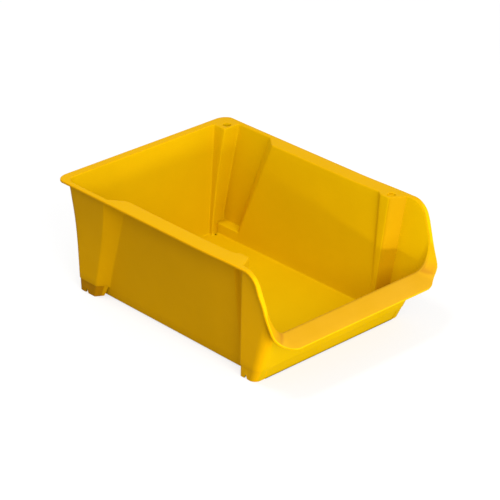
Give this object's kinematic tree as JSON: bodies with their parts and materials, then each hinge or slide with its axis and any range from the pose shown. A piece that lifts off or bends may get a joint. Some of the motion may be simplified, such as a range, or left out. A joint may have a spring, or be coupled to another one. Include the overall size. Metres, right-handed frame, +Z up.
{
  "type": "stackable storage bin",
  "caption": "Open-front stacking storage bin: tapered box with offset corner bays, wide side ledges, a stacking hole, notched feet and a sloping front lip.",
  "frame": {"origin": "centre of the bounding box's footprint, on the plane the feet stand on", "axes": "+Z up; -Y towards the open front and its lip; X across the width, with +X the right side as seen from the front"},
  "size_m": [0.22, 0.3124, 0.1224],
  "materials": {
    "wall_plastic": "satin moulded polypropylene",
    "foot_plastic": "satin moulded polypropylene, scuffed at the foot",
    "rim_plastic": "satin moulded polypropylene, smoother on the rim"
  },
  "bodies": {
    "root": {"floor": "wall_plastic", "back_wall": "wall_plastic", "front_wall": "wall_plastic", "side_panel_right": "wall_plastic", "side_panel_left": "wall_plastic", "rear_bay_right": "wall_plastic", "rear_bay_left": "wall_plastic", "front_step_right": "wall_plastic", "front_step_left": "wall_plastic", "front_cheek_right": "wall_plastic", "front_cheek_left": "wall_plastic", "front_corner_right": "wall_plastic", "front_corner_left": "wall_plastic", "rear_sill_right": "wall_plastic", "rear_sill_left": "wall_plastic", "front_sill_right": "wall_plastic", "front_sill_left": "wall_plastic", "rear_bay_floor_right": "wall_plastic", "rear_bay_floor_left": "wall_plastic", "front_bay_floor_right": "wall_plastic", "front_bay_floor_left": "wall_plastic", "rear_column": "wall_plastic", "rear_foot_right": "foot_plastic", "rear_foot_left": "foot_plastic", "front_foot_right": "foot_plastic", "front_foot_left": "foot_plastic", "rear_rim": "rim_plastic", "front_lip": "rim_plastic", "rear_rim_corner_right": "rim_plastic", "rear_rim_corner_left": "rim_plastic", "side_rim_right": "rim_plastic", "side_rim_left": "rim_plastic", "stacking_ledge_right": "rim_plastic", "stacking_ledge_left": "rim_plastic", "front_shoulder_right": "rim_plastic", "front_shoulder_left": "rim_plastic", "lip_corner_right": "rim_plastic", "lip_corner_left": "rim_plastic"}
  },
  "joints": []
}
